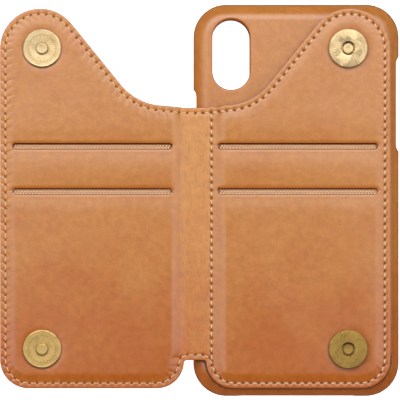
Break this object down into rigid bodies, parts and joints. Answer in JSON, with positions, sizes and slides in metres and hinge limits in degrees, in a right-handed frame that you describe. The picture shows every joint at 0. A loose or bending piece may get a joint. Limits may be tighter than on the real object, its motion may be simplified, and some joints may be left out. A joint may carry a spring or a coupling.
{
  "type": "phone wallet case",
  "caption": "Leather-wrapped phone shell with a card panel on its back and a folding card flap closed by magnetic snaps.",
  "frame": {"origin": "middle of the open case's footprint, on the surface that the shell's front rim rests on", "axes": "+X from the opened flap to the phone shell, +Y to the camera end of the phone, +Z away from the phone's screen, out of the card panels"},
  "size_m": [0.1504, 0.148, 0.0174],
  "materials": {
    "tan_leather": "smooth vegetable-tanned calf, waxed, lightly clouded",
    "spine_leather": "softer pebbled leather, finely creased along the fold",
    "thread": "waxed polyester thread",
    "cloth": "fine woven pocket cloth",
    "lining": "brushed microfibre",
    "shell": "satin moulded polycarbonate",
    "board": "plain stiffening sheet",
    "brass": "antique brass plate, lightly worn",
    "magnet": "nickel-plated ring magnet"
  },
  "bodies": {
    "case": {"hard_shell": "shell", "shell_leather": "tan_leather", "shell_lining": "lining", "panel_base_leather": "tan_leather", "panel_board": "board", "panel_upper_pocket": "cloth", "panel_lower_pocket": "cloth", "panel_face_leather": "tan_leather", "panel_seam_thread": "thread", "upper_socket_cap": "brass", "upper_socket_magnet": "magnet", "upper_socket_rivet": "brass", "upper_socket_prongs": "brass", "upper_socket_washer": "brass", "lower_socket_cap": "brass", "lower_socket_magnet": "magnet", "lower_socket_rivet": "brass", "lower_socket_prongs": "brass", "lower_socket_washer": "brass"},
    "spine": {"spine_outer_leather": "tan_leather", "spine_inner_leather": "spine_leather", "spine_upper_thread": "thread", "spine_lower_thread": "thread"},
    "flap": {"flap_outer_leather": "tan_leather", "flap_board": "board", "flap_upper_pocket": "cloth", "flap_lower_pocket": "cloth", "flap_face_leather": "tan_leather", "flap_seam_thread": "thread", "upper_stud_disc": "brass", "upper_stud_rivet": "brass", "upper_stud_prongs": "brass", "upper_stud_washer": "brass", "lower_stud_disc": "brass", "lower_stud_rivet": "brass", "lower_stud_prongs": "brass", "lower_stud_washer": "brass"}
  },
  "joints": [
    {"name": "spine_fold", "type": "hinge", "parent": "case", "child": "spine", "pos_m": [0.00278, 0, 0.0124], "axis": [0, 1, 0], "range_deg": [0, 90]},
    {"name": "flap_fold", "type": "hinge", "parent": "spine", "child": "flap", "pos_m": [-0.00622, 0, 0.0124], "axis": [0, 1, 0], "range_deg": [-90, 90]}
  ]
}
